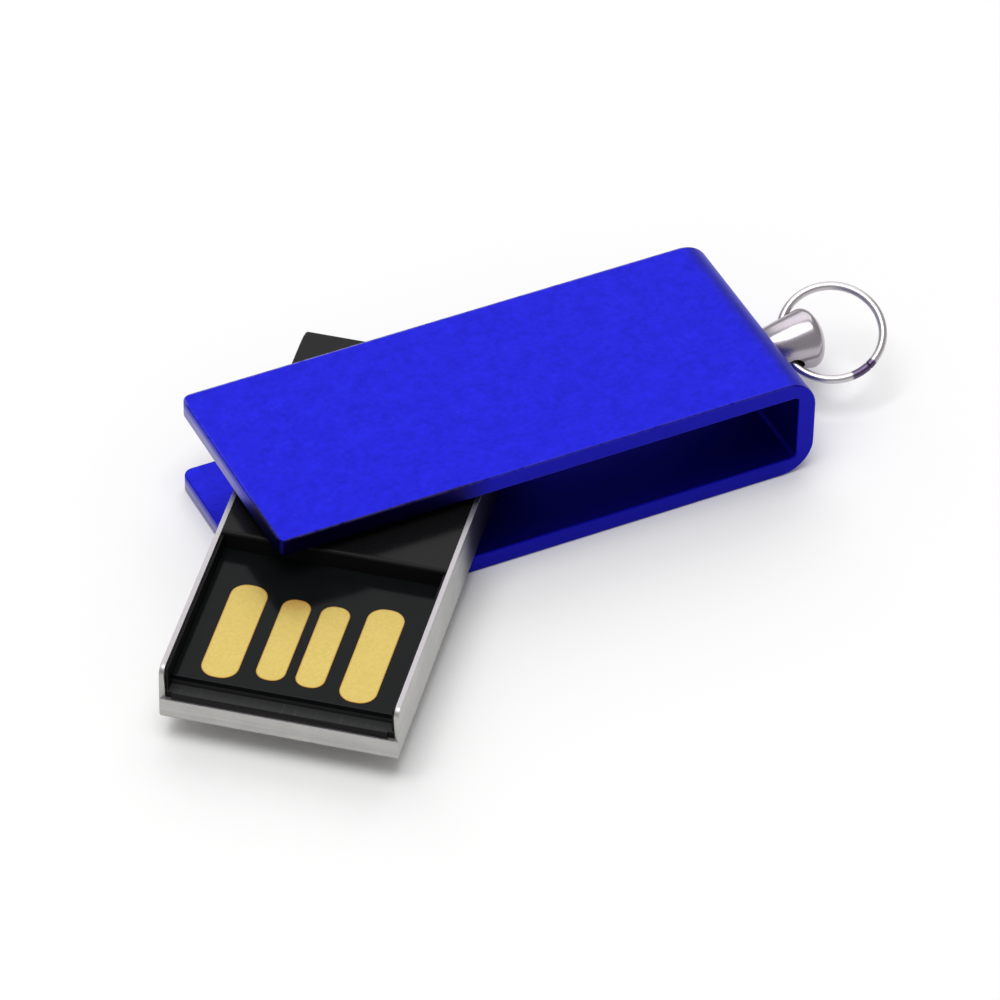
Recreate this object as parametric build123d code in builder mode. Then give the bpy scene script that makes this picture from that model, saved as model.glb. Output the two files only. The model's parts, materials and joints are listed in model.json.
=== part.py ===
"""A small swivel USB flash drive, in millimetres.

A bright-metal plug body turns between the two plates of a U-shaped anodised cover. The cover's closed
end carries a turning stud with a jump ring.

Row frame: the origin is the foot of the swivel axis on the cover's lower face, +X points to the
closed end with the stud, +Z is up. The drive body is drawn on its own planes, whose local +X points
along the plug to its front edge and whose local +Y is the VBUS side. The drive stands swung out.
"""

import os
from math import asin, cos, radians, sin

from build123d import *

os.makedirs("parts", exist_ok=True)

# ---- driving dimensions: cover ----
COVER_LENGTH = 30.0
COVER_WIDTH = 12.2
COVER_HEIGHT = 6.0
PLATE = 1.0
COVER_OUTER_RADIUS = 1.8
COVER_INNER_RADIUS = 0.25
OPEN_CORNER_RADIUS = 0.55
COVER_EDGE_BREAK = 0.10
PIVOT_TO_OPEN_END = 8.1

# ---- driving dimensions: swivel ----
SWING = -129.75
SOCKET_RADIUS = 2.5
SOCKET_DEPTH = 0.45
BOSS_CLEARANCE = 0.05
COLLAR_RADIUS = 3.3
COLLAR_CLEARANCE = 0.05

# ---- driving dimensions: drive body ----
DRIVE_LENGTH = 26.6
PIVOT_TO_PLUG = 18.7
TRAY_WIDTH = 12.1
TRAY_SHEET = 0.25
TRAY_LENGTH = 22.5
TRAY_BOTTOM = 1.25
TRAY_TOP = 4.55
TRAY_FRONT_TOP = 2.55
WALL_NOSE_RADIUS = 0.5
TRAY_FOLD_RADIUS = 0.2
CARRIER_FLOOR = 0.55
RAIL = 0.15
RAIL_TOP = 4.38
BAR_TOP = 2.95
BAR_SETBACK = 0.11
BAR_WIDTH = 10.9
CAP_SETBACK = 10.5
CAP_CORNER_RADIUS = 0.2
CAP_TOP_EDGE = 0.18
PEG_RADIUS = 0.25
PEG_LENGTH = 0.8
PEG_CLEARANCE = 0.02
PEG_SPACING = 8.4

# ---- driving dimensions: chip module, 24.8 x 11.3 x 1.4 ----
MODULE_LENGTH = 24.8
MODULE_WIDTH = 11.3
MODULE_THICKNESS = 1.4
MODULE_SETBACK = 0.86
SUBSTRATE = 0.3
ADHESIVE = 0.05
CONTACT_THICKNESS = 0.03
CONTACT_CENTRE_SETBACK = 4.65
OUTER_CONTACT = (6.9, 1.9)
INNER_CONTACT = (6.0, 1.5)
OUTER_CONTACT_OFFSET = 3.5
INNER_CONTACT_OFFSET = 1.0
DIE_THICKNESS = 0.15
DIE_FILM = 0.03
FLASH_DIE = (10.4, 8.2)
FLASH_DIE_STEP = 0.7
CONTROLLER_DIE = (2.9, 2.5)
CONTROLLER_FROM_FRONT = 5.2
FLASH_FROM_REAR = 7.4
WIRE = 0.04
WIRE_RISE = 0.14
WIRE_INSET = 0.25
WIRE_SPAN = 0.6
FLASH_WIRES = 10
FLASH_PITCH = 0.7
CONTROLLER_WIRES = 9
CONTROLLER_PITCH = 0.25
CAPACITOR = (1.0, 0.5, 0.5)
CAPACITOR_SPACING = (2.6, 7.6)
RESISTOR = (0.5, 1.0, 0.35)
RESISTOR_SPACING = (1.6, 5.0)
TEST_PAD_RADIUS = 0.45
TEST_PAD_PITCH = 1.5
TEST_PAD_ROWS = 3
TEST_PADS_PER_ROW = 6
TEST_PAD_FROM_CAP = 4.2
TEST_PAD_RECESS = 0.06
CONTACT_END_ROUND = 0.44
ADHESIVE_MARGIN = 0.6

# ---- driving dimensions: stud and ring ----
STUD_HEIGHT = 3.0
SHANK_RADIUS = 0.75
SHANK_CLEARANCE = 0.04
STUD_BASE_RADIUS = 1.06
STUD_HEAD_RADIUS = 1.57
STUD_HEAD_START = 2.55
STUD_LENGTH = 3.5
CROWN_HEIGHT = 0.42
CROWN_HALF_WIDTH = 1.31
RIM_MIDDLE_FROM_TIP = 0.66
RIM_MIDDLE_INSET = 0.03
RIVET_HEAD_RADIUS = 1.25
RIVET_END_RADIUS = 0.875
RIVET_HEAD = 0.4
RIVET_LAND = 0.16
RING_HOLE_RADIUS = 0.55
RING_HOLE_DISTANCE = 1.6
RING_RADIUS = 2.66
RING_WIRE_RADIUS = 0.225
RING_OFFSET = 2.37
RING_ROLL = 24.5
RING_YAW = -7.8
RING_PITCH = 12.1
RING_JOINT = -60.0
RING_GAP = 1.2

# ---- heights and places that follow from them ----
COVER_BACK = -PIVOT_TO_OPEN_END
END_FACE = COVER_BACK + COVER_LENGTH
END_INNER_FACE = END_FACE - PLATE
UPPER_PLATE = COVER_HEIGHT - PLATE
BEND_START = END_FACE - COVER_OUTER_RADIUS
COINCIDENT = 0.01
PLUG_FRONT = PIVOT_TO_PLUG
DRIVE_REAR = PLUG_FRONT - DRIVE_LENGTH
TRAY_REAR = PLUG_FRONT - TRAY_LENGTH
INSIDE_WIDTH = TRAY_WIDTH - 2 * TRAY_SHEET
CARRIER_BOTTOM = TRAY_BOTTOM + TRAY_SHEET
CARRIER_DECK = CARRIER_BOTTOM + CARRIER_FLOOR
MODULE_BOTTOM = CARRIER_DECK + ADHESIVE
MODULE_TOP = MODULE_BOTTOM + MODULE_THICKNESS
SUBSTRATE_BOTTOM = MODULE_TOP - SUBSTRATE
MODULE_FRONT = PLUG_FRONT - MODULE_SETBACK
MODULE_MIDDLE = MODULE_FRONT - MODULE_LENGTH / 2
MODULE_REAR = MODULE_FRONT - MODULE_LENGTH
CAP_FRONT = PLUG_FRONT - CAP_SETBACK
CONTROLLER_X = MODULE_FRONT - CONTROLLER_FROM_FRONT
FLASH_X = MODULE_REAR + FLASH_FROM_REAR
CROWN_RADIUS = (CROWN_HALF_WIDTH**2 + CROWN_HEIGHT**2) / (2 * CROWN_HEIGHT)
CROWN_HALF_ANGLE = asin(CROWN_HALF_WIDTH / CROWN_RADIUS)
RIVET_FACE = END_INNER_FACE - SHANK_CLEARANCE
TEST_PAD_CENTRE = CAP_FRONT - TEST_PAD_FROM_CAP
TEST_PAD_FIELD = (TEST_PAD_ROWS * TEST_PAD_PITCH, TEST_PADS_PER_ROW * TEST_PAD_PITCH)
BOSS_RADIUS = SOCKET_RADIUS - BOSS_CLEARANCE

ON_PLANE = (Align.CENTER, Align.CENTER, Align.MIN)
UNDER_PLANE = (Align.CENTER, Align.CENTER, Align.MAX)
drive_plane = Plane.XY.rotated((0, 0, SWING))
side_plane = Plane.XZ

# ---- swivel cover: one U-shaped piece with a blind socket in each inner face ----
with BuildPart() as swivel_cover:
    with BuildSketch(side_plane):
        with Locations(((COVER_BACK + END_FACE) / 2, COVER_HEIGHT / 2)):
            Rectangle(COVER_LENGTH, COVER_HEIGHT)
        with Locations(((COVER_BACK + END_INNER_FACE) / 2, COVER_HEIGHT / 2)):
            Rectangle(COVER_LENGTH - PLATE, COVER_HEIGHT - 2 * PLATE, mode=Mode.SUBTRACT)
    extrude(amount=COVER_WIDTH / 2, both=True)
    across = swivel_cover.edges().filter_by(Axis.Y)
    fillet(across.group_by(Axis.X)[-1], radius=COVER_OUTER_RADIUS)
    inner_corners = [
        edge
        for edge in swivel_cover.edges().filter_by(Axis.Y)
        if abs(edge.center().X - END_INNER_FACE) < COINCIDENT and 0 < edge.center().Z < COVER_HEIGHT
    ]
    fillet(inner_corners, radius=COVER_INNER_RADIUS)
    upright = swivel_cover.edges().filter_by(Axis.Z).group_by(Axis.X)[0]
    fillet(upright, radius=OPEN_CORNER_RADIUS)
    outline = swivel_cover.faces().filter_by(Axis.Z)
    rim_edges = outline.sort_by(Axis.Z)[-1].edges() + outline.sort_by(Axis.Z)[0].edges()
    bend_lines = [edge for edge in rim_edges if abs(edge.center().X - BEND_START) < COINCIDENT]
    fillet([edge for edge in rim_edges if edge not in bend_lines], radius=COVER_EDGE_BREAK)
    with Locations(Plane.XY.offset(PLATE)):
        Cylinder(SOCKET_RADIUS, SOCKET_DEPTH, align=UNDER_PLANE, mode=Mode.SUBTRACT)
    with Locations(Plane.XY.offset(UPPER_PLATE)):
        Cylinder(SOCKET_RADIUS, SOCKET_DEPTH, align=ON_PLANE, mode=Mode.SUBTRACT)
    with BuildSketch(Plane.YZ.offset(END_INNER_FACE - PLATE)):
        with Locations((0, STUD_HEIGHT)):
            Circle(SHANK_RADIUS + SHANK_CLEARANCE)
    extrude(amount=3 * PLATE, mode=Mode.SUBTRACT)

# ---- plug tray: pressed sheet, low at the front, open at the rear, pierced for the lower boss ----
with BuildPart() as plug_tray:
    with BuildSketch(drive_plane.offset(TRAY_BOTTOM)):
        with Locations(((PLUG_FRONT + TRAY_REAR) / 2, 0)):
            Rectangle(TRAY_LENGTH, TRAY_WIDTH)
    extrude(amount=TRAY_TOP - TRAY_BOTTOM)
    with BuildSketch(drive_plane.offset(CARRIER_BOTTOM)):
        with Locations(((PLUG_FRONT - TRAY_SHEET + TRAY_REAR) / 2, 0)):
            Rectangle(TRAY_LENGTH - TRAY_SHEET, INSIDE_WIDTH)
    extrude(amount=TRAY_TOP, mode=Mode.SUBTRACT)
    with BuildSketch(drive_plane.offset(TRAY_FRONT_TOP)):
        with Locations((PLUG_FRONT, 0)):
            Rectangle(2 * MODULE_SETBACK, INSIDE_WIDTH)
    extrude(amount=TRAY_TOP, mode=Mode.SUBTRACT)
    with BuildSketch(drive_plane.offset(TRAY_BOTTOM)):
        Circle(COLLAR_RADIUS + BOSS_CLEARANCE)
    extrude(amount=TRAY_SHEET, mode=Mode.SUBTRACT)
    forward = Axis((0, 0, 0), drive_plane.x_dir)
    sideways = Axis((0, 0, 0), drive_plane.y_dir)
    nose = plug_tray.edges().filter_by(sideways).group_by(forward)[-1].group_by(Axis.Z)[-1]
    fillet(nose, radius=WALL_NOSE_RADIUS)
    fold = plug_tray.edges().filter_by(forward).group_by(Axis.Z)[0]
    fillet(fold, radius=TRAY_FOLD_RADIUS)

# ---- chip carrier: black lower frame with floor, thin side rails, front bar, rear wall and boss ----
with BuildPart() as chip_carrier:
    with BuildSketch(drive_plane.offset(CARRIER_BOTTOM)):
        with Locations(((PLUG_FRONT - TRAY_SHEET + DRIVE_REAR) / 2, 0)):
            Rectangle(DRIVE_LENGTH - TRAY_SHEET, INSIDE_WIDTH)
    extrude(amount=MODULE_TOP - CARRIER_BOTTOM)
    with BuildSketch(drive_plane.offset(MODULE_TOP)):
        with Locations(((PLUG_FRONT - TRAY_SHEET + CAP_FRONT) / 2, 0)):
            Rectangle(CAP_SETBACK - TRAY_SHEET, INSIDE_WIDTH)
            Rectangle(CAP_SETBACK, INSIDE_WIDTH - 2 * RAIL, mode=Mode.SUBTRACT)
    extrude(amount=RAIL_TOP - MODULE_TOP)
    with BuildSketch(drive_plane.offset(CARRIER_DECK)):
        with Locations((MODULE_MIDDLE, 0)):
            Rectangle(MODULE_LENGTH, MODULE_WIDTH)
    extrude(amount=MODULE_TOP, mode=Mode.SUBTRACT)
    with BuildSketch(drive_plane.offset(BAR_TOP)):
        with Locations((PLUG_FRONT, 0)):
            Rectangle(2 * MODULE_SETBACK, MODULE_WIDTH)
    extrude(amount=MODULE_TOP, mode=Mode.SUBTRACT)
    with BuildSketch(drive_plane.offset(TRAY_FRONT_TOP)):
        with Locations((PLUG_FRONT - (BAR_SETBACK + TRAY_SHEET) / 2, 0)):
            Rectangle(TRAY_SHEET - BAR_SETBACK, BAR_WIDTH)
    extrude(amount=BAR_TOP - TRAY_FRONT_TOP)
    with Locations(drive_plane.offset(CARRIER_BOTTOM)):
        Cylinder(COLLAR_RADIUS, CARRIER_BOTTOM - PLATE - COLLAR_CLEARANCE, align=UNDER_PLANE)
        Cylinder(BOSS_RADIUS, CARRIER_BOTTOM - PLATE + SOCKET_DEPTH - COLLAR_CLEARANCE, align=UNDER_PLANE)
    with BuildSketch(drive_plane.offset(MODULE_TOP)):
        with Locations(((MODULE_REAR + DRIVE_REAR) / 2, 0)):
            with GridLocations(0, PEG_SPACING, 1, 2):
                Circle(PEG_RADIUS + PEG_CLEARANCE)
    extrude(amount=-PEG_LENGTH, mode=Mode.SUBTRACT)
    fillet(chip_carrier.edges().filter_by(Axis.Z).group_by(forward)[0], radius=CAP_CORNER_RADIUS)


# ---- rear cap: black upper half over the back of the module, with the upper boss and two pegs ----
with BuildPart() as rear_cap:
    with BuildSketch(drive_plane.offset(MODULE_TOP)):
        with Locations(((CAP_FRONT + DRIVE_REAR) / 2, 0)):
            Rectangle(CAP_FRONT - DRIVE_REAR, INSIDE_WIDTH)
    extrude(amount=TRAY_TOP - MODULE_TOP)
    fillet(rear_cap.edges().filter_by(Axis.Z).group_by(forward)[0], radius=CAP_CORNER_RADIUS)
    top_edges = rear_cap.faces().filter_by(Axis.Z).sort_by(Axis.Z)[-1].edges()
    fillet(top_edges.group_by(forward)[-1] + top_edges.group_by(forward)[0], radius=CAP_TOP_EDGE)
    with BuildSketch(drive_plane.offset(MODULE_TOP)):
        with Locations((TEST_PAD_CENTRE, 0)):
            Rectangle(TEST_PAD_FIELD[0], TEST_PAD_FIELD[1])
    extrude(amount=TEST_PAD_RECESS, mode=Mode.SUBTRACT)
    with Locations(drive_plane.offset(TRAY_TOP)):
        Cylinder(COLLAR_RADIUS, UPPER_PLATE - TRAY_TOP - COLLAR_CLEARANCE, align=ON_PLANE)
        Cylinder(BOSS_RADIUS, UPPER_PLATE - TRAY_TOP + SOCKET_DEPTH - COLLAR_CLEARANCE, align=ON_PLANE)
    with BuildSketch(drive_plane.offset(MODULE_TOP)):
        with Locations(((MODULE_REAR + DRIVE_REAR) / 2, 0)):
            with GridLocations(0, PEG_SPACING, 1, 2):
                Circle(PEG_RADIUS)
    extrude(amount=PEG_CLEARANCE - PEG_LENGTH)

# ---- module adhesive: thin film that holds the chip module down on the carrier's floor ----
with BuildPart() as module_adhesive:
    with BuildSketch(drive_plane.offset(CARRIER_DECK)):
        with Locations((MODULE_MIDDLE, 0)):
            Rectangle(MODULE_LENGTH - 2 * ADHESIVE_MARGIN, MODULE_WIDTH - 2 * ADHESIVE_MARGIN)
    extrude(amount=ADHESIVE)

# ---- chip substrate: the module's circuit board, contacts up and chips underneath ----
with BuildPart() as chip_substrate:
    with BuildSketch(drive_plane.offset(SUBSTRATE_BOTTOM)):
        with Locations((MODULE_MIDDLE, 0)):
            Rectangle(MODULE_LENGTH, MODULE_WIDTH)
    extrude(amount=SUBSTRATE)

# ---- the four gold-plated USB contacts: a longer, wider outer pair and a shorter inner pair ----
CONTACTS = {
    "contact_vbus": (OUTER_CONTACT_OFFSET, OUTER_CONTACT),
    "contact_data_minus": (INNER_CONTACT_OFFSET, INNER_CONTACT),
    "contact_data_plus": (-INNER_CONTACT_OFFSET, INNER_CONTACT),
    "contact_ground": (-OUTER_CONTACT_OFFSET, OUTER_CONTACT),
}
contacts = {}
for contact_name, (offset_across, (pad_length, pad_width)) in CONTACTS.items():
    with BuildPart() as contact:
        with BuildSketch(drive_plane.offset(MODULE_TOP)):
            with Locations((PLUG_FRONT - CONTACT_CENTRE_SETBACK, offset_across)):
                RectangleRounded(pad_length, pad_width, CONTACT_END_ROUND * pad_width)
        extrude(amount=CONTACT_THICKNESS)
    contacts[contact_name] = contact

# ---- test pads: two rows of gold dots that the rear cap hides ----
with BuildPart() as test_pads:
    with BuildSketch(drive_plane.offset(MODULE_TOP)):
        with Locations((TEST_PAD_CENTRE, 0)):
            with GridLocations(TEST_PAD_PITCH, TEST_PAD_PITCH, TEST_PAD_ROWS, TEST_PADS_PER_ROW):
                Circle(TEST_PAD_RADIUS)
    extrude(amount=CONTACT_THICKNESS)


def silicon(centre_x, centre_y, top, size):
    """A film under the board with its top at a height, and the die below it, as two parts."""
    with BuildPart() as film:
        with BuildSketch(drive_plane.offset(top - DIE_FILM)):
            with Locations((centre_x, centre_y)):
                Rectangle(*size)
        extrude(amount=DIE_FILM)
    with BuildPart() as die:
        with BuildSketch(drive_plane.offset(top - DIE_FILM - DIE_THICKNESS)):
            with Locations((centre_x, centre_y)):
                Rectangle(*size)
        extrude(amount=DIE_THICKNESS)
    return film, die


# ---- the three chips hang under the board: the controller, and two flash dies stacked in a step ----
DIE_STEP = DIE_FILM + DIE_THICKNESS
controller_die_film, controller_die = silicon(CONTROLLER_X, 0, SUBSTRATE_BOTTOM, CONTROLLER_DIE)
flash_die_film_first, flash_die_first = silicon(FLASH_X, 0, SUBSTRATE_BOTTOM, FLASH_DIE)
flash_die_film_second, flash_die_second = silicon(
    FLASH_X - FLASH_DIE_STEP, 0, SUBSTRATE_BOTTOM - DIE_STEP, FLASH_DIE
)


def bond_wire_row(start_x, start_z, end_x, across):
    """Gold wires side by side, each from a die's lower face at start to the board's lower face at end."""
    reach = 1 if end_x > start_x else -1
    with BuildPart() as wires:
        for offset_across in across:
            wire_plane = Plane(
                origin=drive_plane.from_local_coords((0, offset_across, 0)),
                x_dir=drive_plane.x_dir,
                z_dir=-drive_plane.y_dir,
            )
            with BuildSketch(wire_plane):
                with BuildLine():
                    Polyline(
                        (start_x, start_z - WIRE / 2),
                        (start_x + reach * WIRE_RISE, start_z - WIRE_RISE),
                        (end_x - reach * WIRE_RISE, start_z - WIRE_RISE),
                        (end_x, SUBSTRATE_BOTTOM - WIRE / 2),
                    )
                trace(line_width=WIRE)
            extrude(amount=WIRE / 2, both=True)
    return wires


def spread(count, pitch):
    """Offsets of a centred row."""
    return [(index - (count - 1) / 2) * pitch for index in range(count)]


# ---- bond wires: gold, from the edge of each die to the board ----
FLASH_EDGE = FLASH_X + FLASH_DIE[0] / 2
CONTROLLER_REACH = CONTROLLER_DIE[0] / 2
first_row = bond_wire_row(
    FLASH_EDGE - WIRE_INSET,
    SUBSTRATE_BOTTOM - DIE_STEP,
    FLASH_EDGE + WIRE_SPAN,
    spread(FLASH_WIRES, FLASH_PITCH),
)
second_row = bond_wire_row(
    FLASH_EDGE - FLASH_DIE_STEP - WIRE_INSET,
    SUBSTRATE_BOTTOM - 2 * DIE_STEP,
    FLASH_EDGE + 2 * WIRE_SPAN,
    [offset + FLASH_PITCH / 2 for offset in spread(FLASH_WIRES, FLASH_PITCH)],
)
controller_front = bond_wire_row(
    CONTROLLER_X + CONTROLLER_REACH - WIRE_INSET,
    SUBSTRATE_BOTTOM - DIE_STEP,
    CONTROLLER_X + CONTROLLER_REACH + WIRE_SPAN,
    spread(CONTROLLER_WIRES, CONTROLLER_PITCH),
)
controller_back = bond_wire_row(
    CONTROLLER_X - CONTROLLER_REACH + WIRE_INSET,
    SUBSTRATE_BOTTOM - DIE_STEP,
    CONTROLLER_X - CONTROLLER_REACH - WIRE_SPAN,
    spread(CONTROLLER_WIRES, CONTROLLER_PITCH),
)
with BuildPart() as flash_bond_wires:
    add(first_row.part)
    add(second_row.part)
with BuildPart() as controller_bond_wires:
    add(controller_front.part)
    add(controller_back.part)

# ---- capacitors and resistors soldered under the board beside the controller ----
with BuildPart() as capacitors:
    with BuildSketch(drive_plane.offset(SUBSTRATE_BOTTOM - CAPACITOR[2])):
        with Locations((CONTROLLER_X, 0)):
            with GridLocations(CAPACITOR_SPACING[0], CAPACITOR_SPACING[1], 2, 2):
                Rectangle(CAPACITOR[0], CAPACITOR[1])
    extrude(amount=CAPACITOR[2])
with BuildPart() as resistors:
    with BuildSketch(drive_plane.offset(SUBSTRATE_BOTTOM - RESISTOR[2])):
        with Locations((CONTROLLER_X, 0)):
            with GridLocations(RESISTOR_SPACING[0], RESISTOR_SPACING[1], 3, 2):
                Rectangle(RESISTOR[0], RESISTOR[1])
    extrude(amount=RESISTOR[2])

# ---- moulding compound: the black block cast over the chips, wires and small parts ----
buried = [
    controller_die_film,
    controller_die,
    flash_die_film_first,
    flash_die_first,
    flash_die_film_second,
    flash_die_second,
    flash_bond_wires,
    controller_bond_wires,
    capacitors,
    resistors,
]
with BuildPart() as moulding_compound:
    with BuildSketch(drive_plane.offset(MODULE_BOTTOM)):
        with Locations((MODULE_MIDDLE, 0)):
            Rectangle(MODULE_LENGTH, MODULE_WIDTH)
    extrude(amount=MODULE_THICKNESS - SUBSTRATE)
    for piece in buried:
        add(piece.part, mode=Mode.SUBTRACT)

# ---- ring stud: turned and plated, its shank riveted over inside the end wall, cross-drilled ----
hole_centre = Vector(END_FACE + RING_HOLE_DISTANCE, 0, STUD_HEIGHT)
roll, yaw, pitch = radians(RING_ROLL), radians(RING_YAW), radians(RING_PITCH)
hole_axis = Vector(-sin(yaw), cos(yaw) * cos(roll), cos(yaw) * sin(roll))
straight_out = Vector(cos(yaw), sin(yaw) * cos(roll), sin(yaw) * sin(roll))
upward = Vector(0, -sin(roll), cos(roll))
ring_direction = straight_out * cos(pitch) + upward * sin(pitch)
ring_centre = hole_centre + ring_direction * RING_OFFSET
hole_plane = Plane(origin=hole_centre, x_dir=straight_out, z_dir=hole_axis)

with BuildPart() as ring_stud:
    with BuildSketch(side_plane):
        with BuildLine():
            tip = (END_FACE + STUD_LENGTH, STUD_HEIGHT)
            flare_end = (END_FACE + STUD_HEAD_START, STUD_HEIGHT + STUD_HEAD_RADIUS)
            shoulder = (END_FACE + STUD_LENGTH - CROWN_HEIGHT, STUD_HEIGHT + CROWN_HALF_WIDTH)
            rim_middle = (
                END_FACE + STUD_LENGTH - RIM_MIDDLE_FROM_TIP,
                STUD_HEIGHT + STUD_HEAD_RADIUS - RIM_MIDDLE_INSET,
            )
            crown_middle = (
                END_FACE + STUD_LENGTH - CROWN_RADIUS * (1 - cos(CROWN_HALF_ANGLE / 2)),
                STUD_HEIGHT + CROWN_RADIUS * sin(CROWN_HALF_ANGLE / 2),
            )
            Polyline(
                tip,
                (RIVET_FACE - RIVET_HEAD, STUD_HEIGHT),
                (RIVET_FACE - RIVET_HEAD, STUD_HEIGHT + RIVET_END_RADIUS),
                (RIVET_FACE - RIVET_LAND, STUD_HEIGHT + RIVET_HEAD_RADIUS),
                (RIVET_FACE, STUD_HEIGHT + RIVET_HEAD_RADIUS),
                (RIVET_FACE, STUD_HEIGHT + SHANK_RADIUS),
                (END_FACE + SHANK_CLEARANCE, STUD_HEIGHT + SHANK_RADIUS),
                (END_FACE + SHANK_CLEARANCE, STUD_HEIGHT + STUD_BASE_RADIUS),
                flare_end,
            )
            ThreePointArc(flare_end, rim_middle, shoulder)
            ThreePointArc(shoulder, crown_middle, tip)
        make_face()
    revolve(axis=Axis((0, 0, STUD_HEIGHT), (1, 0, 0)))
    with BuildSketch(hole_plane):
        Circle(RING_HOLE_RADIUS)
    extrude(amount=2 * STUD_HEAD_RADIUS, both=True, mode=Mode.SUBTRACT)

# ---- jump ring: one turn of round wire through the stud, its two ends butted ----
ring_normal = ring_direction.cross(hole_axis)
joint_direction = ring_direction * cos(radians(RING_JOINT)) + hole_axis * sin(radians(RING_JOINT))
wire_start = Plane(
    origin=ring_centre + joint_direction * RING_RADIUS,
    x_dir=joint_direction,
    z_dir=ring_normal.cross(joint_direction),
)
with BuildPart() as key_ring:
    with BuildSketch(wire_start):
        Circle(RING_WIRE_RADIUS)
    revolve(axis=Axis(ring_centre, ring_normal), revolution_arc=360 - RING_GAP)

# ---- labels and files ----
pieces = {
    "swivel_cover": swivel_cover,
    "plug_tray": plug_tray,
    "chip_carrier": chip_carrier,
    "rear_cap": rear_cap,
    "module_adhesive": module_adhesive,
    "chip_substrate": chip_substrate,
    **contacts,
    "test_pads": test_pads,
    "controller_die_film": controller_die_film,
    "controller_die": controller_die,
    "flash_die_film_first": flash_die_film_first,
    "flash_die_first": flash_die_first,
    "flash_die_film_second": flash_die_film_second,
    "flash_die_second": flash_die_second,
    "controller_bond_wires": controller_bond_wires,
    "flash_bond_wires": flash_bond_wires,
    "capacitors": capacitors,
    "resistors": resistors,
    "moulding_compound": moulding_compound,
    "ring_stud": ring_stud,
    "key_ring": key_ring,
}
for name, piece in pieces.items():
    piece.part.label = name
    export_step(piece.part, f"parts/{name}.step")
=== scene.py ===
"""The looks of a small swivel USB flash drive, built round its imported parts. Metres throughout."""

import json
from math import cos, pi, radians, sin

import bmesh
import bpy
from mathutils import Matrix, Vector


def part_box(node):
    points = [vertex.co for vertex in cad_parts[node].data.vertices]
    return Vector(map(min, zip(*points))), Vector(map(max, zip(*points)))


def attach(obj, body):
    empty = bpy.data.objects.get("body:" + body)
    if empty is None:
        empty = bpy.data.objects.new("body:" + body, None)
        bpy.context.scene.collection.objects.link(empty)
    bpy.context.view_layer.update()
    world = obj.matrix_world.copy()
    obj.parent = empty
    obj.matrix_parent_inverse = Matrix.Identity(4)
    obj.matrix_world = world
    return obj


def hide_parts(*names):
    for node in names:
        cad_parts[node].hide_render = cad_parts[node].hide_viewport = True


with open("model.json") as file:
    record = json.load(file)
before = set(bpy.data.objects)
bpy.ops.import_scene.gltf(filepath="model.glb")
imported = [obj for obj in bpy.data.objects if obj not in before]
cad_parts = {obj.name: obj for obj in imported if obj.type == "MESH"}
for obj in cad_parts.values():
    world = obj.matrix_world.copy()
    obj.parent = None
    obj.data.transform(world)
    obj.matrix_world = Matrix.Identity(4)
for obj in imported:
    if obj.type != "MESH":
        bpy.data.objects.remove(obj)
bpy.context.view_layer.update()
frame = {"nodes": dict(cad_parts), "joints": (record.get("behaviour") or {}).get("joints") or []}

MM = 0.001

# ---------------------------------------------------------------------------------------------
# Swivel cover. One U-shaped piece of aluminium with square-cut plates and a rounded closed end,
# bead-blasted and dyed blue in the anodising bath. Each plate has a blind socket on its inner
# face, into which the drive's bosses snap when the plates are sprung apart.
# ---------------------------------------------------------------------------------------------
PLATE = 1.0 * MM
BEND_RADIUS = 1.8 * MM
INNER_BEND_RADIUS = 0.25 * MM
OPEN_CORNER_RADIUS = 0.55 * MM
EDGE_BREAK = 0.08 * MM
SOCKET_RADIUS = 2.5 * MM
SOCKET_DEPTH = 0.45 * MM
STUD_HOLE_RADIUS = 0.79 * MM
NEARLY = 0.01 * MM

cover_low, cover_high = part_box("swivel_cover")
cover_middle = (cover_low + cover_high) / 2
end_inner_face = cover_high.x - PLATE
plate_faces = (cover_low.z + PLATE, cover_high.z - PLATE)


def cuboid(bm, low, high):
    """Adds a box between two corners."""
    low, high = Vector(low), Vector(high)
    verts = bmesh.ops.create_cube(bm, size=1.0)["verts"]
    bmesh.ops.scale(bm, vec=high - low, verts=verts)
    bmesh.ops.translate(bm, vec=(low + high) / 2, verts=verts)


def cut_across(bm, faces, point, normal):
    """Adds an edge loop to some faces where a plane crosses them."""
    geometry = list({part for f in faces for part in (*f.verts, *f.edges, f)})
    bmesh.ops.bisect_plane(bm, geom=geometry, dist=1e-9, plane_co=point, plane_no=normal)


def middle(edge):
    return (edge.verts[0].co + edge.verts[1].co) / 2


def runs_along(edge, axis):
    """True if an edge lies along X, Y or Z, 0 to 2."""
    along = (edge.verts[1].co - edge.verts[0].co).normalized()
    return abs(along[axis]) > 0.999


def round_off(bm, geometry, radius, segments=3, affect="EDGES"):
    bmesh.ops.bevel(
        bm, geom=geometry, offset=radius, offset_type="OFFSET", segments=segments, profile=0.5,
        affect=affect, clamp_overlap=True, material=-1,
    )


def sharp_edges(bm, angle=radians(50)):
    return [e for e in bm.edges if len(e.link_faces) == 2 and e.calc_face_angle() > angle]


def clean_flats(bm):
    """Joins faces that lie in one plane and removes the points left along straight edges."""
    bmesh.ops.dissolve_limit(bm, angle_limit=radians(0.5), verts=bm.verts, edges=bm.edges)


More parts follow.
